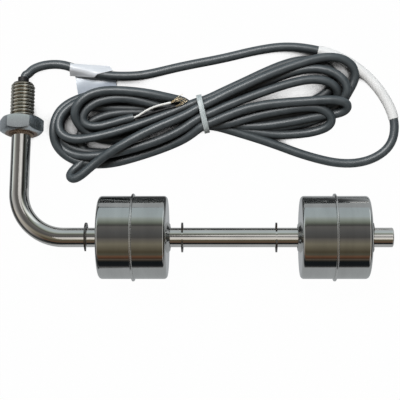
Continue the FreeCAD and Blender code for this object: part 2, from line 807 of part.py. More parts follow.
def makeLabel():
    """A marker tag looped round the cable, with its flag lying on the floor under the hank."""
    thick = size["labelThickness"].value
    wide = size["labelWidth"].value
    loop = size["labelLoop"].value
    top = 2 * CABLE_ROUTE[3][2]
    slope = size["labelSlope"].value

    def section(grow):
        """The loop's section, thickened outwards by grow."""
        low = thick - grow
        outline = [
            Vector(0, -loop / 2 - grow, low),
            Vector(0, loop / 2 + grow, low),
            Vector(0, loop / 2 - slope + grow, top + grow),
            Vector(0, -loop / 2 + slope - grow, top + grow),
        ]
        return Part.Face(Part.makePolygon(outline + outline[:1])).extrude(Vector(wide, 0, 0))

    tailWide = size["labelTailWidth"].value
    tailLong = size["labelTail"].value
    corner = Vector(LABEL_TAIL_SHIFT - (tailWide - wide) / 2, -loop / 2 - tailLong, 0)
    tail = Part.makeBox(tailWide, tailLong + slope, thick, corner)
    label = section(thick).cut(section(0)).fuse(tail).removeSplitter()
    return feature("marker_label", label, Placement(LABEL_CENTRE - Vector(wide / 2, 0, 0), Rotation()))


def makeCore(word, route):
    """A stripped core lying on the hank, and its bare strands."""
    radius = size["coreDiameter"].value / 2
    height = hankTop + radius
    points = [Vector(x, y, height) for x, y in route]
    heading = points[-1] - points[-2]
    heading.normalize()
    tip = points[-1] + heading * size["strandLength"].value
    core = pipeAlong(bentPath(points)[0], radius)
    strands = rod(points[-1], tip, size["strandDiameter"].value / 2)
    return [
        feature("%s_core" % word, core, Placement()),
        feature("%s_core_strands" % word, strands, Placement()),
    ]


def build():
    pieces = [makeStem(), makeEndPlug(), makeFitting(), makeWeld()] + makeSleeveAndPotting()
    for index, (stop, clocking) in enumerate(zip(stops, RING_CLOCKING), start=1):
        pieces.append(makeRing(index, stop, clocking))
    for index in (1, 2):
        pieces += makeFloat(index) + makeReed(index)
    pieces += [makeInnerWire("inner_wire_white", 1), makeInnerWire("inner_wire_black", -1)]
    pieces += makeCable() + [makeHank(), makeTie(), makeLabel()]
    pieces += makeCore("white", WHITE_CORE) + makeCore("black", BLACK_CORE)
    return pieces


def check(pieces):
    """Stop if any object failed, or any piece is empty or not a valid solid."""
    doc.recompute()
    for item in doc.Objects:
        if {"Invalid", "Error"} & set(item.State):
            raise RuntimeError("%s failed: %s" % (item.Label, item.State))
    for piece in pieces:
        shape = piece.Shape
        if shape.isNull() or not shape.isValid() or not shape.Solids:
            raise RuntimeError("%s has no valid solid" % piece.Label)


os.makedirs("parts", exist_ok=True)
pieces = build()
check(pieces)
for piece in pieces:
    piece.Shape.exportStep("parts/%s.step" % piece.Label)
print("wrote %d pieces, with the leg tilted %.2f degrees" % (len(pieces), math.degrees(tilt)))
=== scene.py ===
import bpy
import bmesh
import json
import math
from mathutils import Matrix, Vector

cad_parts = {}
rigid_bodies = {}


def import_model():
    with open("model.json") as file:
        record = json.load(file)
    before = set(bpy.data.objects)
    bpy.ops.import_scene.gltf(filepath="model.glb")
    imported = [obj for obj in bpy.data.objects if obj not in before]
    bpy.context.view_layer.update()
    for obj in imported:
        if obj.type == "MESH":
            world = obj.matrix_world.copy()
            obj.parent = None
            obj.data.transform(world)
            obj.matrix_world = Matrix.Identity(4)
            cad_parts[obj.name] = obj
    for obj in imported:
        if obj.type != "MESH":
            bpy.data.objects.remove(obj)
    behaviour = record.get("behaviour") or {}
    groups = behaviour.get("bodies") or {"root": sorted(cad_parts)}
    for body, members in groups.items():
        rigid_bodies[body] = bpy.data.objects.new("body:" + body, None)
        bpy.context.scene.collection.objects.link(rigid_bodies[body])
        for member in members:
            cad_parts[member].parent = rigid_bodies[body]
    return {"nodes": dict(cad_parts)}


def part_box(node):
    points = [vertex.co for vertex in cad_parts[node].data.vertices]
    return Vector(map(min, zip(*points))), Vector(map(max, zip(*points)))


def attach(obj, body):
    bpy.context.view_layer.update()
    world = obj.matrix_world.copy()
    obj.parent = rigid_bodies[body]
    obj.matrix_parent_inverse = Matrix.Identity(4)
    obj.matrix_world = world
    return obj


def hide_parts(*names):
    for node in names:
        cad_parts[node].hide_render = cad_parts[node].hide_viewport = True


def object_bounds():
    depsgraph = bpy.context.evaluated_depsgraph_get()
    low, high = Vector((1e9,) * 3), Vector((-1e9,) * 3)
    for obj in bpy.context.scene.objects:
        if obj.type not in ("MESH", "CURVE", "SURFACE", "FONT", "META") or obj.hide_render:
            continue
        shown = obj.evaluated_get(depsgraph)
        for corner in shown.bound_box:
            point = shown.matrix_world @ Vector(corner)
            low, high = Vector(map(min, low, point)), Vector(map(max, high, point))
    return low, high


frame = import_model()
cadNodes = frame["nodes"]
cadBox = [list(corner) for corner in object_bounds()]
print("frame loaded:", len(cadNodes), "nodes")


# small helpers for every piece
def boxCentre(node):
    low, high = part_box(node)
    return (low + high) / 2


def deselectAll():
    if bpy.context.object and bpy.context.object.mode != "OBJECT":
        bpy.ops.object.mode_set(mode="OBJECT")
    bpy.ops.object.select_all(action="DESELECT")


def makeActive(piece):
    deselectAll()
    piece.select_set(True)
    bpy.context.view_layer.objects.active = piece


def applyModifier(piece, kind, **settings):
    makeActive(piece)
    modifier = piece.modifiers.new(kind.title(), kind)
    for key, value in settings.items():
        setattr(modifier, key, value)
    bpy.ops.object.modifier_apply(modifier=modifier.name)


def roundEdges(piece, width, degrees):
    limit = math.radians(degrees)
    applyModifier(piece, "BEVEL", width=width, segments=2, limit_method="ANGLE", angle_limit=limit)


def settle(piece, matrix=None):  # the place goes into the mesh, the object stays at the origin
    if matrix is not None:
        piece.matrix_world = matrix @ piece.matrix_world
    makeActive(piece)
    bpy.ops.object.transform_apply(location=True, rotation=True, scale=True)


def recalculate(piece):
    makeActive(piece)
    bpy.ops.object.mode_set(mode="EDIT")
    bpy.ops.mesh.select_all(action="SELECT")
    bpy.ops.mesh.normals_make_consistent(inside=False)
    bpy.ops.object.mode_set(mode="OBJECT")


def smooth(piece, degrees):
    makeActive(piece)
    bpy.ops.object.shade_smooth_by_angle(angle=math.radians(degrees))


def joinPieces(name, pieces):
    deselectAll()
    for piece in pieces:
        piece.select_set(True)
    bpy.context.view_layer.objects.active = pieces[0]
    bpy.ops.object.join()
    pieces[0].name = name
    return pieces[0]


def dress(piece, material, body="stem"):
    piece.data.materials.clear()
    piece.data.materials.append(material)
    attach(piece, body)


# materials
def shaderOf(material):
    return material.node_tree.nodes["Principled BSDF"]


def newMaterial(name, colour, roughness, metallic=0.0, **sockets):
    material = bpy.data.materials.new(name)
    material.use_nodes = True
    inputs = shaderOf(material).inputs
    inputs["Base Color"].default_value = (*colour, 1)
    inputs["Roughness"].default_value = roughness
    inputs["Metallic"].default_value = metallic
    for socket, value in sockets.items():
        inputs[socket.replace("_", " ")].default_value = value
    return material


def addNode(material, kind, inputs=None, **settings):
    node = material.node_tree.nodes.new(kind)
    for key, value in settings.items():
        setattr(node, key, value)
    for key, value in (inputs or {}).items():
        if hasattr(value, "is_output"):
            material.node_tree.links.new(value, node.inputs[key])
        else:
            node.inputs[key].default_value = value
    return node


def combine(material, operation, first, second):
    inputs = {0: first, 1: second}
    return addNode(material, "ShaderNodeMath", inputs, operation=operation).outputs[0]


def combineVectors(material, operation, inputs, output="Vector"):
    node = addNode(material, "ShaderNodeVectorMath", inputs, operation=operation)
    return node.outputs[output]


def rawPlace(material):
    return addNode(material, "ShaderNodeTexCoord").outputs["Object"]


def objectPlace(material, stretch=(1, 1, 1), moved=(0, 0, 0)):
    inputs = {"Vector": rawPlace(material), "Scale": stretch, "Location": moved}
    return addNode(material, "ShaderNodeMapping", inputs).outputs["Vector"]


def noise(material, place, scale, detail=3.0, roughness=0.55):
    inputs = {"Vector": place, "Scale": scale, "Detail": detail, "Roughness": roughness}
    return addNode(material, "ShaderNodeTexNoise", inputs).outputs["Fac"]


def remap(material, value, fromLow, fromHigh, toLow, toHigh):
    inputs = {
        "Value": value,
        "From Min": fromLow, "From Max": fromHigh,
        "To Min": toLow, "To Max": toHigh,
    }
    return addNode(material, "ShaderNodeMapRange", inputs).outputs["Result"]


def spreadNoise(material, value, low, high):  # most of a noise lies between 0.3 and 0.7
    return remap(material, value, 0.3, 0.7, low, high)


def rampColour(material, value, stops):
    node = addNode(material, "ShaderNodeValToRGB", {"Fac": value})
    elements = node.color_ramp.elements
    while len(elements) < len(stops):
        elements.new(0.5)
    for element, (place, colour) in zip(elements, stops):
        element.position = place
        element.color = (*colour, 1)
    return node.outputs["Color"]


def howOpen(material, distance, samples):  # 0 deep in a nook, 1 out in the open
    inputs = {"Distance": distance}
    node = addNode(material, "ShaderNodeAmbientOcclusion", inputs, samples=samples)
    return node.outputs["AO"]


def plug(material, socket, value):
    material.node_tree.links.new(value, shaderOf(material).inputs[socket])


def addBump(material, height, distance, below=None):
    inputs = {"Height": height, "Distance": distance, "Strength": 1.0}
    if below:
        inputs["Normal"] = below
    return addNode(material, "ShaderNodeBump", inputs).outputs["Normal"]


def steelMaterial(name, colour, roughness, marks, markDepth, wobble, wobbleDepth, spread=0.04):
    # marks and wobble: how fast polishing marks and slow waves change along x, y and z, per metre
    material = newMaterial(name, colour, roughness, 1.0)
    grain = noise(material, objectPlace(material, marks), 1.0, 4.0, 0.6)
    slow = noise(material, objectPlace(material, wobble), 1.0, 2.0)
    gloss = spreadNoise(material, grain, roughness - spread, roughness + spread)
    plug(material, "Roughness", gloss)
    darker = tuple(0.88 * c for c in colour)
    plug(material, "Base Color", rampColour(material, slow, [(0.3, darker), (0.7, colour)]))
    waves = addBump(material, slow, wobbleDepth)
    plug(material, "Normal", addBump(material, grain, markDepth, waves))
    return material


steelLooks = {
    "polished": dict(
        colour=(0.84, 0.82, 0.78), roughness=0.055, marks=(3000, 260, 260), markDepth=0.000007,
        wobble=(60, 90, 90), wobbleDepth=0.00004,
    ),
    "float": dict(
        colour=(0.68, 0.68, 0.66), roughness=0.07, marks=(260, 1500, 1500), markDepth=0.0000012,
        wobble=(150, 26, 26), wobbleDepth=0.00006, spread=0.03,
    ),
    "fitting": dict(
        colour=(0.60, 0.60, 0.57), roughness=0.30, marks=(3600, 160, 160), markDepth=0.00003,
        wobble=(90, 90, 90), wobbleDepth=0.00002, spread=0.06,
    ),
    "thread": dict(
        colour=(0.62, 0.58, 0.50), roughness=0.24, marks=(900, 900, 900), markDepth=0.00001,
        wobble=(120, 120, 120), wobbleDepth=0.00001, spread=0.05,
    ),
    "seam": dict(
        colour=(0.80, 0.79, 0.77), roughness=0.20, marks=(900, 900, 900), markDepth=0.00001,
        wobble=(120, 120, 120), wobbleDepth=0.00001, spread=0.05,
    ),
    "ring": dict(
        colour=(0.22, 0.21, 0.20), roughness=0.34, marks=(700, 700, 700), markDepth=0.00001,
        wobble=(200, 200, 200), wobbleDepth=0.00001,
    ),
    "blade": dict(
        colour=(0.66, 0.62, 0.55), roughness=0.28, marks=(400, 2500, 2500), markDepth=0.000002,
        wobble=(200, 200, 200), wobbleDepth=0.000005,
    ),
    "weld": dict(
        colour=(0.46, 0.36, 0.28), roughness=0.30, marks=(900, 900, 900), markDepth=0.00004,
        wobble=(400, 400, 400), wobbleDepth=0.00003,
    ),
}
polishedSteel = steelMaterial("polishedSteel", **steelLooks["polished"])
floatSteel = steelMaterial("floatSteel", **steelLooks["float"])
fittingSteel = steelMaterial("fittingSteel", **steelLooks["fitting"])
threadSteel = steelMaterial("threadSteel", **steelLooks["thread"])
ringSteel = steelMaterial("ringSteel", **steelLooks["ring"])
seamSteel = steelMaterial("seamSteel", **steelLooks["seam"])
bladeSteel = steelMaterial("bladeSteel", **steelLooks["blade"])
weldTint = steelMaterial("weldTint", **steelLooks["weld"])


def mottled(name, dark, light, roughness, scale, depth, metallic=0.0, **sockets):
    # a moulded or extruded finish: two near colours, uneven gloss and a fine skin
    spread = 0.06
    material = newMaterial(name, light, roughness, metallic, **sockets)
    place = objectPlace(material)
    slow = noise(material, place, scale, 4.0)
    fine = noise(material, place, scale * 9, 3.0)
    plug(material, "Base Color", rampColour(material, slow, [(0.32, dark), (0.68, light)]))
    gloss = spreadNoise(material, slow, roughness - spread, roughness + spread)
    plug(material, "Roughness", gloss)
    plug(material, "Normal", addBump(material, fine, depth))
    return material


cableJacket = mottled(
    "cableJacket", dark=(0.035, 0.045, 0.051), light=(0.054, 0.066, 0.074), roughness=0.42,
    scale=160, depth=0.00003, Specular_IOR_Level=0.75,
)
blackSleeve = mottled(
    "blackSleeve", dark=(0.008, 0.008, 0.009), light=(0.016, 0.016, 0.017), roughness=0.55,
    scale=300, depth=0.00003, Specular_IOR_Level=0.3,
)
pottingResin = mottled(
    "pottingResin", dark=(0.020, 0.019, 0.018), light=(0.035, 0.033, 0.031), roughness=0.25,
    scale=250, depth=0.00008,
)
whiteTube = mottled(
    "whiteTube", dark=(0.78, 0.785, 0.79), light=(0.86, 0.865, 0.87), roughness=0.42,
    scale=130, depth=0.00003,
)
tieNylon = mottled(
    "tieNylon", dark=(0.40, 0.45, 0.46), light=(0.52, 0.57, 0.58), roughness=0.38,
    scale=220, depth=0.00003,
    Subsurface_Weight=0.25, Subsurface_Radius=(0.003, 0.003, 0.003), Subsurface_Scale=0.5,
)
labelFilm = mottled(
    "labelFilm", dark=(0.64, 0.67, 0.72), light=(0.74, 0.77, 0.82), roughness=0.33,
    scale=60, depth=0.00005,
)
# the flag uses a darker copy of the wrap's film: painted shade
labelTail = mottled(
    "labelTail", dark=(0.40, 0.45, 0.52), light=(0.50, 0.55, 0.62), roughness=0.30,
    scale=60, depth=0.00005,
)
whiteInsulation = mottled(
    "whiteInsulation", dark=(0.78, 0.78, 0.76), light=(0.88, 0.88, 0.86), roughness=0.36,
    scale=400, depth=0.00001,
)
blackInsulation = mottled(
    "blackInsulation", dark=(0.012, 0.012, 0.013), light=(0.022, 0.022, 0.024), roughness=0.36,
    scale=400, depth=0.00001,
)
bareStrands = mottled(
    "bareStrands", dark=(0.42, 0.33, 0.20), light=(0.66, 0.58, 0.44), roughness=0.35,
    scale=900, depth=0.00002, metallic=0.85,
)
ferriteGrey = mottled(
    "ferriteGrey", dark=(0.030, 0.030, 0.032), light=(0.055, 0.054, 0.055), roughness=0.55,
    scale=700, depth=0.00004,
)

# turns deep in the bundle carry painted shade: darker in colour and duller in gloss than those on
# top, by how closed in they are
jacketShadeAndDulling = {
    "reach": 0.014, "samples": 8, "deep": 0.35, "open": 0.90,
    "deepShade": 0.30, "openShade": 1.15, "deepRoughness": 0.62, "openRoughness": 0.42,
}


def byDepth(look):  # a value that goes from its deep to its open figure
    shown = (jacketShadeAndDulling["deep" + look], jacketShadeAndDulling["open" + look])
    return remap(cableJacket, jacketOpen, jacketShadeAndDulling["deep"], jacketShadeAndDulling["open"], *shown)


jacketOpen = howOpen(cableJacket, jacketShadeAndDulling["reach"], jacketShadeAndDulling["samples"])
jacketColour = shaderOf(cableJacket).inputs["Base Color"].links[0].from_socket
shadePaintedJacketColour = combineVectors(cableJacket, "SCALE", {0: jacketColour, "Scale": byDepth("Shade")})
plug(cableJacket, "Base Color", shadePaintedJacketColour)
plug(cableJacket, "Roughness", byDepth("Roughness"))


def clearMaterial(name, colour, roughness, transmission, ior, scale, depth):
    clear = {"Transmission_Weight": transmission, "IOR": ior}
    material = newMaterial(name, colour, roughness, **clear)
    skin = noise(material, objectPlace(material), scale)
    plug(material, "Normal", addBump(material, skin, depth))
    return material


reedGlass = clearMaterial("reedGlass", (0.80, 0.90, 0.84), 0.03, 1.0, 1.5, 200, 0.00001)
clearSleeve = clearMaterial("clearSleeve", (0.90, 0.90, 0.86), 0.20, 0.9, 1.45, 500, 0.00003)

finishes = {
    "stem_tube": polishedSteel, "end_plug": polishedSteel, "hex_fitting": fittingSteel,
    "fitting_weld": weldTint, "cable_exit_sleeve": blackSleeve, "potting_plug": pottingResin,
    "retaining_ring": ringSteel, "reed_capsule": reedGlass, "reed_blades": bladeSteel,
    "reed_sleeve": clearSleeve, "inner_wire_white": whiteInsulation,
    "inner_wire_black": blackInsulation, "cable_run": cableJacket, "cable_hank": cableJacket,
    "white_sleeve": whiteTube, "cable_tie": tieNylon, "marker_label": labelFilm,
    "white_core_strands": bareStrands, "black_core_strands": bareStrands,
    "white_core": whiteInsulation, "black_core": blackInsulation, "float": floatSteel,
}
for name, node in cadNodes.items():
    family = max((key for key in finishes if name.startswith(key)), key=len)
    material = ferriteGrey if name.endswith("magnet") else finishes[family]
    node.data.materials.clear()
    node.data.materials.append(material)
print("materials made and given to the nodes")


# the cable: a straight exit, a run to the hank, and the hank's turns
cable = {
    "radius": 0.003, "length": 3.10, "roundness": 6, "smoothness": 6,
    "upTheLeg": (0.087, 0.1105),  # its first points, measured along the leg's line
}
tubeEnd = boxCentre("end_plug")
exitCentre = boxCentre("cable_exit_sleeve")
legCorner = Vector((exitCentre.x, tubeEnd.y, tubeEnd.z))  # where the two straight axes would meet
legLine = (exitCentre - legCorner).normalized()
exitRoute = [legCorner + legLine * along for along in cable["upTheLeg"]]
runRoute = [
    (-0.1119, 0.0716, 0.0063), (-0.1092, 0.0750, 0.0050), (-0.1044, 0.0773, 0.0040),
    (-0.0991, 0.0785, 0.0034), (-0.0935, 0.0788, 0.0032), (-0.0884, 0.0783, 0.0032),
    (-0.0830, 0.0767, 0.0032), (-0.0756, 0.0746, 0.0032), (-0.0661, 0.0723, 0.0032),
    (-0.0574, 0.0711, 0.0032), (-0.0479, 0.0707, 0.0032), (-0.0339, 0.0713, 0.0031),
    (-0.0088, 0.0775, 0.0031), (0.0182, 0.0825, 0.0031), (0.0411, 0.0882, 0.0031),
    (0.0610, 0.0911, 0.0032), (0.0809, 0.0889, 0.0035), (0.0990, 0.0833, 0.0035),
    (0.1149, 0.0725, 0.0035), (0.1274, 0.0579, 0.0035), (0.1353, 0.0409, 0.0032),
    (0.1330, 0.0242, 0.0031), (0.1193, 0.0139, 0.0031), (0.0999, 0.0111, 0.0031),
    (0.0757, 0.0166, 0.0031), (0.0500, 0.0262, 0.0036), (0.0300, 0.0323, 0.0050),
    (0.0125, 0.0373, 0.0064),
]

# the tied turns in the order the cable follows them, each a half turn from the tie and back
hankTurns = [
    [
        (0.0042, 0.0371, 0.0047), (-0.0067, 0.0399, 0.0040), (-0.0202, 0.0463, 0.0036),
        (-0.0371, 0.0524, 0.0033), (-0.0540, 0.0572, 0.0032), (-0.0668, 0.0587, 0.0032),
        (-0.0756, 0.0566, 0.0032), (-0.0843, 0.0530, 0.0035), (-0.0909, 0.0476, 0.0047),
        (-0.0942, 0.0403, 0.0066), (-0.0951, 0.0316, 0.0069), (-0.0934, 0.0240, 0.0055),
        (-0.0879, 0.0176, 0.0036), (-0.0796, 0.0133, 0.0032), (-0.0670, 0.0112, 0.0032),
        (-0.0541, 0.0122, 0.0032), (-0.0371, 0.0169, 0.0038), (-0.0196, 0.0226, 0.0059),
        (-0.0052, 0.0286, 0.0102), (0.0053, 0.0366, 0.0142), (0.0110, 0.0386, 0.0144),
    ],
    [
        (0.0202, 0.0427, 0.0137), (0.0335, 0.0478, 0.0132), (0.0469, 0.0505, 0.0130),
        (0.0602, 0.0519, 0.0130), (0.0735, 0.0528, 0.0130), (0.0867, 0.0537, 0.0137),
        (0.0954, 0.0535, 0.0134), (0.1012, 0.0517, 0.0125), (0.1022, 0.0484, 0.0097),
        (0.0985, 0.0459, 0.0069), (0.0914, 0.0445, 0.0059), (0.0820, 0.0434, 0.0064),
        (0.0706, 0.0408, 0.0066), (0.0572, 0.0385, 0.0062), (0.0424, 0.0367, 0.0055),
        (0.0269, 0.0368, 0.0050),
    ],
    [
        (0.0101, 0.0424, 0.0046), (0.0005, 0.0439, 0.0046), (-0.0101, 0.0470, 0.0038),
        (-0.0236, 0.0482, 0.0033), (-0.0385, 0.0490, 0.0031), (-0.0540, 0.0493, 0.0031),
        (-0.0675, 0.0501, 0.0031), (-0.0776, 0.0508, 0.0031), (-0.0860, 0.0477, 0.0031),
        (-0.0907, 0.0420, 0.0031), (-0.0914, 0.0346, 0.0031), (-0.0899, 0.0282, 0.0031),
        (-0.0850, 0.0235, 0.0032), (-0.0776, 0.0205, 0.0033), (-0.0661, 0.0189, 0.0032),
        (-0.0533, 0.0195, 0.0032), (-0.0385, 0.0218, 0.0033), (-0.0236, 0.0260, 0.0043),
        (-0.0080, 0.0327, 0.0071), (0.0054, 0.0362, 0.0097), (0.0113, 0.0373, 0.0095),
    ],
    [
        (0.0222, 0.0379, 0.0092), (0.0356, 0.0422, 0.0092), (0.0476, 0.0451, 0.0095),
        (0.0597, 0.0472, 0.0097), (0.0710, 0.0490, 0.0097), (0.0797, 0.0494, 0.0097),
        (0.0871, 0.0474, 0.0095), (0.0922, 0.0426, 0.0080), (0.0905, 0.0367, 0.0055),
        (0.0802, 0.0331, 0.0033), (0.0681, 0.0316, 0.0032), (0.0553, 0.0312, 0.0032),
        (0.0424, 0.0327, 0.0035), (0.0290, 0.0348, 0.0040), (0.0168, 0.0357, 0.0045),
    ],
    [
        (0.0087, 0.0395, 0.0046), (-0.0010, 0.0460, 0.0055), (-0.0059, 0.0530, 0.0083),
        (-0.0165, 0.0552, 0.0113), (-0.0297, 0.0580, 0.0123), (-0.0424, 0.0596, 0.0123),
        (-0.0544, 0.0602, 0.0123), (-0.0650, 0.0593, 0.0123), (-0.0734, 0.0556, 0.0123),
        (-0.0787, 0.0500, 0.0120), (-0.0803, 0.0439, 0.0106), (-0.0783, 0.0382, 0.0076),
        (-0.0734, 0.0326, 0.0040), (-0.0648, 0.0281, 0.0033), (-0.0520, 0.0280, 0.0033),
        (-0.0371, 0.0323, 0.0036), (-0.0222, 0.0384, 0.0045), (-0.0080, 0.0443, 0.0073),
        (0.0023, 0.0452, 0.0095), (0.0090, 0.0472, 0.0097),
    ],
    [
        (0.0202, 0.0545, 0.0078), (0.0336, 0.0602, 0.0066), (0.0457, 0.0654, 0.0066),
        (0.0564, 0.0698, 0.0071), (0.0671, 0.0733, 0.0076), (0.0776, 0.0754, 0.0080),
        (0.0872, 0.0746, 0.0087), (0.0955, 0.0712, 0.0092), (0.1008, 0.0659, 0.0092),
        (0.1023, 0.0606, 0.0087), (0.1002, 0.0556, 0.0071), (0.0949, 0.0502, 0.0047),
        (0.0849, 0.0456, 0.0035), (0.0708, 0.0423, 0.0032), (0.0539, 0.0398, 0.0032),
        (0.0371, 0.0381, 0.0036), (0.0222, 0.0380, 0.0043),
    ],
    [
        (0.0094, 0.0412, 0.0090), (-0.0010, 0.0462, 0.0092), (-0.0100, 0.0494, 0.0066),
        (-0.0235, 0.0519, 0.0055), (-0.0383, 0.0546, 0.0052), (-0.0531, 0.0563, 0.0052),
        (-0.0652, 0.0563, 0.0055), (-0.0746, 0.0544, 0.0057), (-0.0826, 0.0510, 0.0057),
        (-0.0885, 0.0460, 0.0062), (-0.0912, 0.0402, 0.0076), (-0.0910, 0.0345, 0.0090),
        (-0.0878, 0.0300, 0.0097), (-0.0807, 0.0275, 0.0099), (-0.0706, 0.0283, 0.0102),
        (-0.0532, 0.0322, 0.0104), (-0.0365, 0.0376, 0.0106), (-0.0192, 0.0440, 0.0109),
        (-0.0058, 0.0494, 0.0109), (0.0016, 0.0525, 0.0106), (0.0075, 0.0539, 0.0102),
    ],
    [
        (0.0206, 0.0604, 0.0087), (0.0336, 0.0666, 0.0071), (0.0451, 0.0723, 0.0055),
        (0.0573, 0.0778, 0.0040), (0.0687, 0.0812, 0.0033), (0.0782, 0.0817, 0.0031),
        (0.0856, 0.0795, 0.0031), (0.0917, 0.0755, 0.0031), (0.0944, 0.0693, 0.0031),
        (0.0921, 0.0627, 0.0031), (0.0856, 0.0571, 0.0031), (0.0755, 0.0527, 0.0031),
        (0.0620, 0.0488, 0.0031), (0.0465, 0.0445, 0.0033), (0.0303, 0.0415, 0.0038),
    ],
    [
        (0.0097, 0.0440, 0.0046), (-0.0004, 0.0477, 0.0046), (-0.0115, 0.0520, 0.0043),
        (-0.0250, 0.0540, 0.0033), (-0.0398, 0.0559, 0.0031), (-0.0547, 0.0568, 0.0031),
        (-0.0668, 0.0555, 0.0031), (-0.0776, 0.0532, 0.0031), (-0.0871, 0.0494, 0.0031),
        (-0.0929, 0.0432, 0.0031), (-0.0949, 0.0359, 0.0031), (-0.0937, 0.0288, 0.0031),
        (-0.0901, 0.0228, 0.0033), (-0.0839, 0.0186, 0.0043), (-0.0759, 0.0166, 0.0062),
        (-0.0669, 0.0167, 0.0080), (-0.0554, 0.0182, 0.0092), (-0.0406, 0.0217, 0.0102),
        (-0.0258, 0.0262, 0.0113), (-0.0106, 0.0325, 0.0130), (0.0031, 0.0417, 0.0144),
        (0.0097, 0.0441, 0.0146),
    ],
    [
        (0.0206, 0.0493, 0.0139), (0.0342, 0.0547, 0.0130), (0.0462, 0.0592, 0.0123),
        (0.0569, 0.0629, 0.0116), (0.0676, 0.0660, 0.0109), (0.0777, 0.0678, 0.0104),
        (0.0871, 0.0672, 0.0099), (0.0936, 0.0639, 0.0087), (0.0963, 0.0595, 0.0066),
        (0.0952, 0.0548, 0.0043), (0.0890, 0.0503, 0.0033), (0.0775, 0.0469, 0.0031),
        (0.0627, 0.0443, 0.0031), (0.0465, 0.0417, 0.0033), (0.0303, 0.0401, 0.0038),
    ],
    [
        (0.0100, 0.0427, 0.0093), (-0.0005, 0.0440, 0.0052), (-0.0101, 0.0467, 0.0036),
        (-0.0236, 0.0462, 0.0032), (-0.0385, 0.0465, 0.0031), (-0.0533, 0.0461, 0.0031),
        (-0.0648, 0.0430, 0.0031), (-0.0729, 0.0382, 0.0031), (-0.0776, 0.0319, 0.0031),
        (-0.0773, 0.0251, 0.0031), (-0.0739, 0.0201, 0.0031), (-0.0736, 0.0154, 0.0032),
        (-0.0775, 0.0110, 0.0036), (-0.0824, 0.0069, 0.0045), (-0.0841, 0.0030, 0.0066),
        (-0.0813, 0.0010, 0.0085), (-0.0761, 0.0035, 0.0095), (-0.0706, 0.0082, 0.0102),
        (-0.0638, 0.0137, 0.0111), (-0.0549, 0.0197, 0.0137), (-0.0441, 0.0259, 0.0151),
        (-0.0308, 0.0327, 0.0156), (-0.0176, 0.0384, 0.0156), (-0.0056, 0.0434, 0.0151),
        (0.0026, 0.0484, 0.0146), (0.0082, 0.0507, 0.0146),
    ],
    [
        (0.0206, 0.0572, 0.0142), (0.0342, 0.0636, 0.0132), (0.0462, 0.0692, 0.0123),
        (0.0582, 0.0741, 0.0113), (0.0703, 0.0784, 0.0104), (0.0804, 0.0815, 0.0097),
        (0.0898, 0.0830, 0.0090), (0.0986, 0.0821, 0.0078), (0.1053, 0.0782, 0.0062),
        (0.1083, 0.0727, 0.0045), (0.1069, 0.0665, 0.0033), (0.1034, 0.0602, 0.0031),
        (0.0998, 0.0539, 0.0031), (0.0944, 0.0474, 0.0031), (0.0843, 0.0421, 0.0031),
        (0.0694, 0.0382, 0.0031), (0.0532, 0.0359, 0.0032), (0.0371, 0.0360, 0.0036),
        (0.0236, 0.0373, 0.0040),
    ],
    [
        (0.0096, 0.0446, 0.0093), (-0.0017, 0.0492, 0.0087), (-0.0093, 0.0483, 0.0073),
        (-0.0207, 0.0492, 0.0078), (-0.0320, 0.0526, 0.0085), (-0.0434, 0.0551, 0.0090),
        (-0.0547, 0.0553, 0.0092), (-0.0652, 0.0531, 0.0090), (-0.0729, 0.0479, 0.0085),
        (-0.0758, 0.0419, 0.0078), (-0.0727, 0.0371, 0.0076), (-0.0650, 0.0362, 0.0073),
        (-0.0555, 0.0386, 0.0076), (-0.0468, 0.0411, 0.0080), (-0.0407, 0.0424, 0.0085),
    ],
]

cablePoints = exitRoute + [Vector(p) for p in runRoute]
for turn in hankTurns:
    cablePoints += [Vector(p) for p in turn]


def addCord(name, points, radius, roundness, smoothness):
    line = bpy.data.curves.new(name, "CURVE")
    line.dimensions = "3D"
    spline = line.splines.new("NURBS")
    spline.points.add(len(points) - 1)
    for point, place in zip(spline.points, points):
        point.co = (*place, 1)
    spline.order_u = 3
    spline.use_endpoint_u = True
    line.resolution_u = smoothness
    line.bevel_depth = radius
    line.bevel_resolution = roundness
    line.use_fill_caps = True
    piece = bpy.data.objects.new(name, line)
    bpy.context.scene.collection.objects.link(piece)
    return piece


def cordLine(piece):  # the spline's own line, without its thickness
    bare = piece.data.copy()
    bare.bevel_depth = 0
    probe = bpy.data.objects.new("cordProbe", bare)
    points = [v.co.copy() for v in bpy.data.meshes.new_from_object(probe).vertices]
    bpy.data.objects.remove(probe)
    return points


cord = addCord("cableCord", cablePoints, cable["radius"], cable["roundness"], cable["smoothness"])
dress(cord, cableJacket)
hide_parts("cable_run", "cable_hank")
wholeLine = cordLine(cord)
runLine = wholeLine[: len(wholeLine) // 4]  # the run to the hank lies well inside the first quarter
cordLength = sum((b - a).length for a, b in zip(wholeLine, wholeLine[1:]))
print("cable laid: %.3f m of line" % cordLength)


def sectionFrames(line):  # a side and an up vector at each point, carried along without twist
    frames = []
    side = None
    for i, point in enumerate(line):
        heading = (line[min(i + 1, len(line) - 1)] - line[max(i - 1, 0)]).normalized()
        if side is None:
            side = heading.cross(Vector((0, 0, 1))).normalized()
        side = (side - heading * side.dot(heading)).normalized()
        frames.append((point, side, heading.cross(side).normalized()))
    return frames


def addMesh(name, mesh):
    data = bpy.data.meshes.new(name)
    mesh.to_mesh(data)
    mesh.free()
    piece = bpy.data.objects.new(name, data)
    bpy.context.scene.collection.objects.link(piece)
    return piece


def tubeAlong(name, line, rings, sides):
    # rings: (place in the line, radius) from one end to the other, so a wall can turn back inside
    mesh = bmesh.new()
    frames = sectionFrames(line)
    loops = []
    for index, radius in rings:
        point, side, up = frames[index]
        loop = []
        for k in range(sides):
            angle = 2 * math.pi * k / sides
            away = side * math.cos(angle) + up * math.sin(angle)
            loop.append(mesh.verts.new(point + away * radius))
        loops.append(loop)
    for a, b in zip(loops, loops[1:]):
        for k in range(sides):
            mesh.faces.new((a[k], a[(k + 1) % sides], b[(k + 1) % sides], b[k]))
    return addMesh(name, mesh)


def nearestIndex(line, place):
    return min(range(len(line)), key=lambda i: (line[i] - Vector(place)).length)


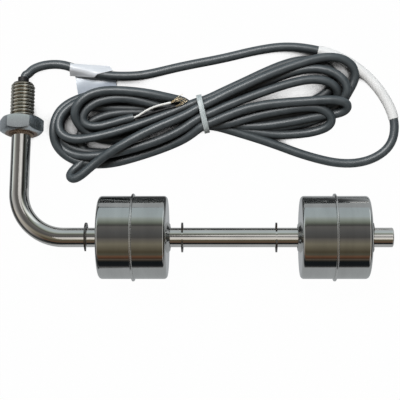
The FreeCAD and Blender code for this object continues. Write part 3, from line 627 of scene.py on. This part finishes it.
# the white sleeve on the cable
whiteSleeve = {
    "from": (0.0825, 0.0885, 0.0036), "to": (0.1348, 0.0420, 0.0033),
    "outer": 0.00345, "inner": 0.00303, "worn": 0.00008, "sides": 32,
}
first = nearestIndex(runLine, whiteSleeve["from"])
last = nearestIndex(runLine, whiteSleeve["to"])
covered = runLine[first : last + 1]
end = len(covered) - 1
lip = whiteSleeve["outer"] - whiteSleeve["worn"]
rings = [(0, whiteSleeve["inner"]), (0, lip)]
rings += [(i, whiteSleeve["outer"]) for i in range(1, end)]
rings += [(end, lip), (end, whiteSleeve["inner"])]
sleeve = tubeAlong("cableSleeve", covered, rings, whiteSleeve["sides"])
recalculate(sleeve)
smooth(sleeve, 50)
dress(sleeve, whiteTube)
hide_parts("white_sleeve")
print("white sleeve fitted:", len(covered), "sections")


# the nylon tie
tie = {
    "centre": (0.0055, 0.0446), "turn": 13.0, "halfAcross": 0.01195, "low": 0.0012,
    "high": 0.0178, "wide": 0.0036, "thick": 0.00105, "square": 3.0, "edge": 0.00025,
}
middle = (tie["low"] + tie["high"]) / 2
deselectAll()
bpy.ops.mesh.primitive_cylinder_add(
    vertices=72, radius=1, depth=tie["wide"], end_fill_type="NOTHING"
)
strap = bpy.context.object
strap.name = "tieStrap"
for v in strap.data.vertices:  # the ring squares up round the bundle
    x, y = v.co.x, v.co.y
    grow = (abs(x) ** tie["square"] + abs(y) ** tie["square"]) ** (-1 / tie["square"])
    v.co.x, v.co.y = x * grow * tie["halfAcross"], y * grow * (tie["high"] - tie["low"]) / 2
applyModifier(strap, "SOLIDIFY", thickness=tie["thick"], offset=1.0)
roundEdges(strap, tie["edge"], 50)
stand = Matrix(((0, 0, 1), (1, 0, 0), (0, 1, 0))).to_4x4()  # the ring's axis along the bundle
turn = Matrix.Rotation(math.radians(tie["turn"]), 4, "Z")
settle(strap, Matrix.Translation((*tie["centre"], middle)) @ turn @ stand)
recalculate(strap)
smooth(strap, 40)
dress(strap, tieNylon)
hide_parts("cable_tie")
print("tie drawn round the bundle")


# the stripped cores and their bare wires
cores = {
    "radius": 0.00080,
    "white": [
        (-0.0427, 0.0417, 0.0085), (-0.0388, 0.0427, 0.0092), (-0.0345, 0.0455, 0.0106),
        (-0.0293, 0.0481, 0.0123), (-0.0224, 0.0503, 0.0142), (-0.0156, 0.0515, 0.0156),
    ],
    "whiteWire": [
        (-0.0156, 0.0515, 0.0156), (-0.0132, 0.0526, 0.0160), (-0.0109, 0.0539, 0.0163),
        (-0.0083, 0.0542, 0.0160),
    ],
    "whiteWires": 9,
    "whiteFan": 0.0026,
    "black": [
        (-0.0427, 0.0413, 0.0083), (-0.0367, 0.0428, 0.0087), (-0.0285, 0.0454, 0.0102),
        (-0.0204, 0.0475, 0.0123), (-0.0123, 0.0493, 0.0137),
    ],
    "blackWire": [
        (-0.0123, 0.0493, 0.0137), (-0.0097, 0.0502, 0.0144), (-0.0076, 0.0518, 0.0149),
        (-0.0054, 0.0533, 0.0150),
    ],
    "blackWires": 5,
    "blackFan": 0.0007,
    "wireRadius": 0.00016,
    "wireGap": 0.0003,
    "roundness": 4,
    "smoothness": 8,
}


def addCore(name, points, radius):
    route = [Vector(p) for p in points]
    piece = addCord(name, route, radius, cores["roundness"], cores["smoothness"])
    makeActive(piece)
    bpy.ops.object.convert(target="MESH")
    piece = bpy.context.object
    recalculate(piece)
    smooth(piece, 50)
    return piece


def addWires(name, points, count, fan):
    # fine wires that leave the core together and spread towards their ends
    wires = []
    along = [Vector(p) for p in points]
    for k in range(count):
        angle = 2 * math.pi * k / count
        away = Vector((math.cos(angle), math.sin(angle), 0.4 * math.sin(2 * angle)))
        uneven = 0.55 + 0.45 * math.sin(5 * angle + 1)
        bent = []
        for i, point in enumerate(along):
            share = i / (len(along) - 1)
            bent.append(point + away * (cores["wireGap"] + fan * share**1.5 * uneven))
        wires.append(addCore("%s_%d" % (name, k), bent, cores["wireRadius"]))
    return joinPieces(name, wires)


whiteCore = addCore("whiteCore", cores["white"], cores["radius"])
dress(whiteCore, whiteInsulation)
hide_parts("white_core")
whiteWire = addWires("whiteCoreWire", cores["whiteWire"], cores["whiteWires"], cores["whiteFan"])
dress(whiteWire, bareStrands)
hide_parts("white_core_strands")
blackCore = addCore("blackCore", cores["black"], cores["radius"])
dress(blackCore, blackInsulation)
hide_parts("black_core")
blackWire = addWires("blackCoreWire", cores["blackWire"], cores["blackWires"], cores["blackFan"])
dress(blackWire, bareStrands)
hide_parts("black_core_strands")
print("cores and bare wires made")


# the screwed fitting: hex, thread and weld, shaped on the z axis and then turned on to the leg's
fitting = {
    "near": 0.0700, "thick": 0.0105, "acrossFlats": 0.0254, "blankSides": 128,
    "nearInset": 0.0017, "farInset": 0.0005, "slope": 0.577, "spare": 0.0004, "edge": 0.00016,
}
far = fitting["near"] + fitting["thick"]
legTurn = Matrix((  # puts the z axis on the leg's line
    (1, 0, 0, legCorner.x),
    (0, legLine.z, legLine.y, legCorner.y),
    (0, -legLine.y, legLine.z, legCorner.z),
    (0, 0, 0, 1),
))


def turnedBlank(name, length, radius, sides, cuts, low):  # a cylinder, cut across into rings
    deselectAll()
    bpy.ops.mesh.primitive_cylinder_add(
        vertices=sides, radius=radius, depth=length, location=(0, 0, low + length / 2)
    )
    piece = bpy.context.object
    piece.name = name
    settle(piece)
    if cuts:
        for edge in piece.data.edges:
            a, b = (piece.data.vertices[i].co for i in edge.vertices)
            edge.select = abs(a.z - b.z) > 0.9 * length
        for vertex in piece.data.vertices:
            vertex.select = False
        for face in piece.data.polygons:
            face.select = False
        bpy.ops.object.mode_set(mode="EDIT")
        bpy.ops.mesh.select_mode(type="EDGE")
        bpy.ops.mesh.subdivide(number_cuts=cuts)
        bpy.ops.object.mode_set(mode="OBJECT")
    return piece


flatRadius = fitting["acrossFlats"] / 2
hexCorner = flatRadius / math.cos(math.radians(30))
hexBody = turnedBlank("hexFitting", fitting["thick"], hexCorner, 6, 0, fitting["near"])
hexBody.rotation_euler.z = math.radians(30)
settle(hexBody)
outside = hexCorner + fitting["spare"]
nearCircle = flatRadius - fitting["nearInset"]
farCircle = flatRadius - fitting["farInset"]
blankSides = fitting["blankSides"]
blank = turnedBlank("hexBlank", fitting["thick"], outside, blankSides, 2, fitting["near"])
for vertex in blank.data.vertices:  # four rings: the end circles and the chamfers' shoulders
    share = (vertex.co.z - fitting["near"]) / fitting["thick"]
    if share < 0.1:
        vertex.co.xy *= nearCircle / outside
    elif share > 0.9:
        vertex.co.xy *= farCircle / outside
    elif share < 0.5:
        vertex.co.z = fitting["near"] + (outside - nearCircle) * fitting["slope"]
    else:
        vertex.co.z = far - (outside - farCircle) * fitting["slope"]
applyModifier(hexBody, "BOOLEAN", object=blank, operation="INTERSECT", solver="EXACT")
bpy.data.objects.remove(blank)
roundEdges(hexBody, fitting["edge"], 18)
settle(hexBody, legTurn)
smooth(hexBody, 24)
dress(hexBody, fittingSteel)
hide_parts("hex_fitting")
print("hex of the fitting cut")


def fromLegAxis(material):  # how far a place on the fitting is from the leg's own axis
    away = combineVectors(material, "SUBTRACT", {0: rawPlace(material), 1: legCorner})
    crossed = combineVectors(material, "CROSS_PRODUCT", {0: away, 1: legLine})
    return combineVectors(material, "LENGTH", {0: crossed}, "Value")


# heat from the weld has tinted the hex round the tube, in specks at the edge of the tint
heatTint = {
    "from": 0.0078, "to": 0.0122, "speckScale": 1400, "speckle": 0.18,
    "stops": [
        (0.05, (0.32, 0.20, 0.14)), (0.50, (0.20, 0.13, 0.10)),
        (0.72, (0.36, 0.32, 0.25)), (0.80, (0.68, 0.73, 0.76)),
    ],
}
tintReach = remap(
    fittingSteel, fromLegAxis(fittingSteel), heatTint["from"], heatTint["to"], 0.0, 1.0
)
specks = noise(fittingSteel, objectPlace(fittingSteel), heatTint["speckScale"], 2.0)
speckle = spreadNoise(fittingSteel, specks, -heatTint["speckle"], heatTint["speckle"])
speckled = combine(fittingSteel, "ADD", tintReach, speckle)
plug(fittingSteel, "Base Color", rampColour(fittingSteel, speckled, heatTint["stops"]))

# the thread is rolled on the nipple; painted shade darkens its roots, and the colour lightens
# towards the crests
threaded = {
    "length": 0.0245, "major": 0.015875, "pitch": 0.0024, "depth": 0.00125, "bore": 0.0088,
    "boreDepth": 0.0014, "sunk": 0.0008, "leadDepth": 0.0016, "leadSlope": 0.75, "sharpness": 0.8,
    "sides": 96, "cuts": 168, "rootShadeTop": 0.2,
    "rootShade": [(0.0, (0.07, 0.06, 0.045)), (0.45, (0.40, 0.37, 0.30)), (0.9, (0.86, 0.83, 0.74))],
}
crest = threaded["major"] / 2
rootShadeEnd = crest - threaded["rootShadeTop"] * threaded["depth"]
rootDepth = remap(
    threadSteel, fromLegAxis(threadSteel), crest - threaded["depth"], rootShadeEnd, 0.0, 1.0
)
plug(threadSteel, "Base Color", rampColour(threadSteel, rootDepth, threaded["rootShade"]))

rolled = {
    "length": threaded["length"] + threaded["sunk"], "low": far - threaded["sunk"],
    "radius": crest, "sides": threaded["sides"], "cuts": threaded["cuts"],
}
thread = turnedBlank("fittingThread", **rolled)
topEnd = far + threaded["length"]
for face in thread.data.polygons:
    face.select = face.normal.z > 0.9
makeActive(thread)
bpy.ops.object.mode_set(mode="EDIT")
bpy.ops.mesh.select_mode(type="FACE")
bpy.ops.mesh.inset(thickness=crest - threaded["bore"] / 2)
bpy.ops.mesh.extrude_region_move(
    TRANSFORM_OT_translate={"value": (0, 0, -threaded["boreDepth"])}
)
bpy.ops.object.mode_set(mode="OBJECT")
for vertex in thread.data.vertices:
    radius = vertex.co.xy.length
    if radius < crest - 0.0002:
        continue  # the bore keeps its size
    around = math.atan2(vertex.co.y, vertex.co.x) / (2 * math.pi)
    turnShare = ((vertex.co.z - far) / threaded["pitch"] - around) % 1.0
    # a rounded crest and a sharp root
    tooth = abs(math.cos(math.pi * turnShare)) ** threaded["sharpness"]
    reach = crest - threaded["depth"] * (1 - tooth)
    lead = crest - threaded["leadDepth"] + (topEnd - vertex.co.z) * threaded["leadSlope"]
    vertex.co.xy *= min(reach, lead) / radius
settle(thread, legTurn)
smooth(thread, 50)
dress(thread, threadSteel)
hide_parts("hex_fitting")
print("thread rolled")


def addRing(name, look, **place):  # the plain ring that a weld's ripples are pressed into
    deselectAll()
    bpy.ops.mesh.primitive_torus_add(
        major_segments=look["steps"], minor_segments=look["sides"],
        major_radius=look["radius"], minor_radius=look["bead"], **place,
    )
    piece = bpy.context.object
    piece.name = name
    settle(piece)
    return piece


# the weld round the tube, with the marks of each touch of heat
weld = {
    "radius": 0.0069, "bead": 0.0014, "ripples": 34, "ripple": 0.00016, "lean": 2.2,
    "steps": 204, "sides": 16, "sunk": 0.0001,
}
weldLevel = fitting["near"] + weld["sunk"]  # in the corner between the hex and the tube
weldBead = addRing("weldBead", weld, location=(0, 0, weldLevel))
for vertex in weldBead.data.vertices:
    around = math.atan2(vertex.co.y, vertex.co.x)
    outwards = Vector((math.cos(around), math.sin(around), 0)) * weld["radius"]
    centre = Vector((outwards.x, outwards.y, weldLevel))
    lean = weld["lean"] * (vertex.co.z - centre.z) / weld["bead"]
    wave = math.cos(weld["ripples"] * around + lean) + 0.5 * math.sin(3 * around + 1)
    vertex.co += (vertex.co - centre).normalized() * (weld["ripple"] * wave)
settle(weldBead, legTurn)
smooth(weldBead, 60)
dress(weldBead, weldTint)
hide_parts("fitting_weld")
print("weld bead laid")


# the marker label: a wrap over the cable and a flag that lies on the floor
label = {
    "thick": 0.00022, "from": -0.092, "to": -0.048,
    # the wrap's edges over the cable: its back edge, and its front edge, which is cut slanting
    "backEdge": [(-0.0837, 0.0790), (-0.0580, 0.0780)],
    "frontEdge": [(-0.0845, 0.0712), (-0.0676, 0.0697), (-0.0655, 0.0716), (-0.0552, 0.0744)],
    "wrapRows": 30, "wrapColumns": 44, "snug": 0.00335, "waver": 0.00012,
    # past its shoulder the wrap slopes down to the floor, and its last corner curls up
    "shoulder": 0.72, "slope": 1.15, "lowest": 0.0008, "curlFrom": 0.82, "curl": 0.0008,
    # the flag's corners: two by the cable, two at its far end
    "flag": [(-0.0811, 0.0712), (-0.0540, 0.0708), (-0.0531, 0.0640), (-0.0790, 0.0579)],
    "flagRows": 28, "flagColumns": 32, "flagLevel": 0.0003, "bulge": 0.0007, "ruffle": 0.00016,
}
labelLine = [p for p in runLine if label["from"] < p.x < label["to"]]


def lineAt(x):  # the cable's centre under a place on the label
    for a, b in zip(labelLine, labelLine[1:]):
        if a.x <= x <= b.x:
            return a.lerp(b, (x - a.x) / (b.x - a.x))
    return labelLine[-1] if x > labelLine[-1].x else labelLine[0]


def alongPath(path, share):  # a place at a share of the way through the given places
    spans = [math.dist(a, b) for a, b in zip(path, path[1:])]
    goal = share * sum(spans)
    for a, b, span in zip(path, path[1:], spans):
        if goal <= span:
            return [p + (q - p) * goal / span for p, q in zip(a, b)]
        goal -= span
    return list(path[-1])


def wrapPlace(share, across):  # share 0 at the back edge, 1 at the front edge
    backX, backY = alongPath(label["backEdge"], across)
    frontX, frontY = alongPath(label["frontEdge"], across)
    x = backX + (frontX - backX) * share
    y = backY + (frontY - backY) * share
    centre = lineAt(x)
    off = abs(y - centre.y)
    radius = label["snug"] + label["waver"] * math.sin(2.1 * share * math.pi + 260 * x)
    shoulder = label["shoulder"] * radius
    z = centre.z + math.sqrt(radius**2 - min(off, shoulder) ** 2)
    z -= label["slope"] * max(0.0, off - shoulder)
    z += label["curl"] * max(0.0, across - label["curlFrom"]) / (1 - label["curlFrom"]) * share
    return x, y, max(label["lowest"], z)


flagCorners = [Vector(corner) for corner in label["flag"]]


def flagPlace(share, across):  # share 0 beside the cable, 1 at the flag's far end
    byCable = flagCorners[0].lerp(flagCorners[1], across)
    byEnd = flagCorners[3].lerp(flagCorners[2], across)
    place = byCable.lerp(byEnd, share)
    lift = label["bulge"] * math.sin(math.pi * share) * (0.4 + 0.6 * (1 - across))
    lift += label["ruffle"] * math.sin(9 * across + 2 * share)
    return place.x, place.y, label["flagLevel"] + max(0.0, lift)


def filmSheet(name, rows, columns, placeAt, material):
    mesh = bmesh.new()
    grid = [
        [mesh.verts.new(placeAt(i / rows, j / columns)) for j in range(columns + 1)]
        for i in range(rows + 1)
    ]
    for a, b in zip(grid, grid[1:]):
        for k in range(columns):
            mesh.faces.new((a[k], a[k + 1], b[k + 1], b[k]))
    piece = addMesh(name, mesh)
    applyModifier(piece, "SOLIDIFY", thickness=label["thick"], offset=0.0)
    dress(piece, material)
    return piece


wrap = filmSheet("labelWrap", label["wrapRows"], label["wrapColumns"], wrapPlace, labelFilm)
flag = filmSheet("labelFlag", label["flagRows"], label["flagColumns"], flagPlace, labelTail)
marker = joinPieces("markerLabel", [wrap, flag])
recalculate(marker)
smooth(marker, 50)
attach(marker, "stem")
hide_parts("marker_label")
print("marker label folded round the cable")


# the rippled seam round each float
seam = {
    "radius": 0.0278, "bead": 0.00078, "ripples": 150, "ripple": 0.00005,
    "steps": 300, "sides": 14,
}
for body in ("float_1", "float_2"):
    inner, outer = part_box(body + "_inner_cup"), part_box(body + "_outer_cup")
    centre = (Vector(map(min, inner[0], outer[0])) + Vector(map(max, inner[1], outer[1]))) / 2
    bead = addRing(body + "_seam", seam, location=centre, rotation=(0, math.pi / 2, 0))
    for vertex in bead.data.vertices:
        outwards = vertex.co - centre
        around = math.atan2(outwards.z, outwards.y)
        core = centre + Vector((0, math.cos(around), math.sin(around))) * seam["radius"]
        wave = seam["ripple"] * math.sin(seam["ripples"] * around)
        vertex.co += (vertex.co - core).normalized() * wave
    smooth(bead, 60)
    dress(bead, seamSteel, body)
print("float seams welded")


# the floor, white to the eye, with painted shade between the turns and painted dark reflections in
# the metal
floorLook = {
    "half": 2.2, "colour": 0.46, "deepColour": 0.05, "shown": 0.985,
    "nook": 0.018, "shadeFrom": 0.25, "shadeTo": 0.70, "clearFrom": 0.24, "clearTo": 0.38,
    "mirrorTint": (0.93, 0.97, 1, 1), "mirrored": 0.42, "underHank": 0.06,
    "hankSpot": (8.5, 22, 0), "hankMove": (0, -1.0, 0), "hankEdge": (0.9, 1.1), "samples": 16,
    "darkFrom": -0.185, "darkWidth": 0.06, "darkShare": 0.1,
}
white = (1, 1, 1, 1)
deselectAll()
bpy.ops.mesh.primitive_plane_add(size=2 * floorLook["half"], location=(0, 0, cadBox[0][2]))
floor = bpy.context.object
floor.name = "paleFloor"
settle(floor)
floorPaint = bpy.data.materials.new("floorPaint")
floorPaint.use_nodes = True
floorPaint.node_tree.nodes.clear()


def glow(colour, strength):
    inputs = {"Color": colour, "Strength": strength}
    return addNode(floorPaint, "ShaderNodeEmission", inputs).outputs[0]


def mixShaders(material, share, first, second):
    return addNode(material, "ShaderNodeMixShader", {0: share, 1: first, 2: second}).outputs[0]


rays = addNode(floorPaint, "ShaderNodeLightPath").outputs
# in the polished metal the floor under the hank shows a painted shadow
spot = objectPlace(floorPaint, floorLook["hankSpot"], floorLook["hankMove"])
spotReach = combineVectors(floorPaint, "LENGTH", {0: spot}, "Value")
hankLevels = (floorLook["underHank"], floorLook["mirrored"])
paintedHankShadow = remap(floorPaint, spotReach, *floorLook["hankEdge"], *hankLevels)
# and the floor far out past the leg shows a painted dark reflection
floorX = addNode(floorPaint, "ShaderNodeSeparateXYZ", {0: rawPlace(floorPaint)}).outputs["X"]
darkTo = floorLook["darkFrom"] + floorLook["darkWidth"]
paintedFarDark = remap(floorPaint, floorX, floorLook["darkFrom"], darkTo, floorLook["darkShare"], 1.0)
mirrored = glow(floorLook["mirrorTint"], combine(floorPaint, "MULTIPLY", paintedHankShadow, paintedFarDark))
# deep between the turns the eye sees the lit floor, its colour darkened there as painted shade, and
# elsewhere plain white
openness = howOpen(floorPaint, floorLook["nook"], floorLook["samples"])
litStops = [
    (floorLook["shadeFrom"], (floorLook["deepColour"],) * 3),
    (floorLook["shadeTo"], (floorLook["colour"],) * 3),
]
litColour = rampColour(floorPaint, openness, litStops)
lit = addNode(floorPaint, "ShaderNodeBsdfDiffuse", {"Color": litColour}).outputs[0]
clear = remap(
    floorPaint, openness, floorLook["clearFrom"], floorLook["clearTo"], 0.0, floorLook["shown"]
)
showShare = combine(floorPaint, "MULTIPLY", rays["Is Camera Ray"], clear)
seen = mixShaders(floorPaint, showShare, lit, glow(white, 1.0))
reflected = mixShaders(floorPaint, rays["Is Glossy Ray"], seen, mirrored)
addNode(floorPaint, "ShaderNodeOutputMaterial", {"Surface": reflected})
floor.data.materials.append(floorPaint)


# the room that the metal shows
studio = {
    # degrees from straight up towards +y, and the room's colour there
    "room": [
        (-180, (0.30, 0.30, 0.30)), (-91, (0.28, 0.28, 0.28)), (-89, (0.07, 0.07, 0.07)),
        (-84, (0.012, 0.014, 0.016)), (-70, (0.010, 0.013, 0.015)), (-66, (0.04, 0.035, 0.028)),
        (-63, (0.12, 0.10, 0.08)), (-59, (0.07, 0.035, 0.022)), (-54, (0.17, 0.085, 0.050)),
        (-48, (0.10, 0.095, 0.070)), (-40, (0.085, 0.070, 0.045)), (-18, (0.22, 0.20, 0.15)),
        (-4, (0.14, 0.13, 0.12)), (0, (0.09, 0.088, 0.085)), (14, (0.11, 0.11, 0.11)),
        (30, (0.15, 0.145, 0.14)), (34, (0.07, 0.07, 0.068)), (38, (0.13, 0.14, 0.12)),
        (44, (0.24, 0.27, 0.23)), (54, (0.40, 0.44, 0.42)), (60, (0.46, 0.52, 0.54)),
        (90, (0.44, 0.50, 0.53)), (97, (0.36, 0.40, 0.43)), (104, (0.25, 0.28, 0.30)),
        (180, (0.30, 0.30, 0.30)),
    ],
    # share of x in the direction, and how much the side lights add there
    "sides": [
        (-1.0, 0.42), (-0.85, 0.30), (-0.70, 0.12), (-0.50, 0.0),
        (0.26, 0.0), (0.34, 0.50), (0.50, 0.50), (0.60, 0.0),
    ],
    "sidesRise": 0.25,
    # the room is dark at the far right
    "darkFrom": 0.60, "darkTo": 0.68, "darkShare": 0.22,
}
world = bpy.data.worlds.new("studioRoom")
bpy.context.scene.world = world
world.use_nodes = True
world.node_tree.nodes.clear()


def background(colour):
    inputs = {"Color": colour, "Strength": 1.0}
    return addNode(world, "ShaderNodeBackground", inputs).outputs[0]


direction = addNode(world, "ShaderNodeTexCoord").outputs["Generated"]
parts = addNode(world, "ShaderNodeSeparateXYZ", {0: direction}).outputs
angle = combine(world, "ARCTAN2", parts["Y"], parts["Z"])
turned = remap(world, angle, -math.pi, math.pi, 0.0, 1.0)
room = rampColour(world, turned, [((a + 180) / 360, colour) for a, colour in studio["room"]])
across = remap(world, parts["X"], -1.0, 1.0, 0.0, 1.0)
strips = rampColour(world, across, [((x + 1) / 2, (level,) * 3) for x, level in studio["sides"]])
above = remap(world, parts["Z"], 0.0, studio["sidesRise"], 0.0, 1.0)
stripMix = {"Factor": above, "A": (0, 0, 0, 1), "B": strips}
stripLight = addNode(world, "ShaderNodeMix", stripMix, data_type="RGBA").outputs["Result"]
fullRoom = combineVectors(world, "ADD", {0: room, 1: stripLight})
farSide = remap(
    world, parts["X"], studio["darkFrom"], studio["darkTo"], 1.0, studio["darkShare"]
)
roomLight = combineVectors(world, "SCALE", {0: fullRoom, "Scale": farSide})
eyeRays = addNode(world, "ShaderNodeLightPath").outputs["Is Camera Ray"]
worldMix = mixShaders(world, eyeRays, background(roomLight), background(white))
addNode(world, "ShaderNodeOutputWorld", {"Surface": worldMix})


def piecesOf(name, metals):
    group = bpy.data.collections.new(name)
    for piece in bpy.context.scene.objects:
        if piece.type == "MESH" and piece.data.materials and piece.data.materials[0] in metals:
            group.objects.link(piece)
    return group


def addLamp(name, look, group):
    deselectAll()
    bpy.ops.object.light_add(type="SUN", location=(0, 0, 1))
    lamp = bpy.context.object
    lamp.name = name
    lamp.data.energy = look["strength"]
    lamp.data.angle = math.radians(look["spread"])
    lamp.rotation_euler = [math.radians(a) for a in look["tilt"]]
    lamp.light_linking.receiver_collection = group


# the overhead lamp leaves the bright metal out, which shows the room and not the lamp
overhead = {"strength": 2.7, "spread": 24, "tilt": (-26, -14, 0)}
steels = [polishedSteel, floatSteel, fittingSteel, threadSteel]
steels += [ringSteel, seamSteel, bladeSteel, weldTint]
mirrors = piecesOf("mirrorPieces", steels)
addLamp("softOverhead", overhead, mirrors)
for link in mirrors.collection_objects:
    link.light_linking.link_state = "EXCLUDE"

# the long bright lines down the straight tube and the leg, and the light on the hex
metalLamps = {
    "stemLight": {"strength": 0.11, "spread": 30, "tilt": (10, 0, 0), "metal": polishedSteel},
    "legLight": {"strength": 0.07, "spread": 24, "tilt": (-23, 10, 0), "metal": polishedSteel},
    "hexLight": {"strength": 0.16, "spread": 50, "tilt": (-30, -16, 0), "metal": fittingSteel},
}
for name, look in metalLamps.items():
    addLamp(name, look, piecesOf(name + "Pieces", [look["metal"]]))

view = {"place": (0.0229, -0.0329, 0.7395), "lens": 98.3, "sensor": 36, "shift": (-0.0725, 0.075)}
bpy.ops.object.camera_add(location=view["place"], rotation=(0, 0, 0))
camera = bpy.context.object
camera.data.lens = view["lens"]
camera.data.sensor_width = view["sensor"]
camera.data.shift_x, camera.data.shift_y = view["shift"]
bpy.context.scene.camera = camera
bpy.context.scene.view_settings.view_transform = "Standard"
print("floor, lights and camera set")
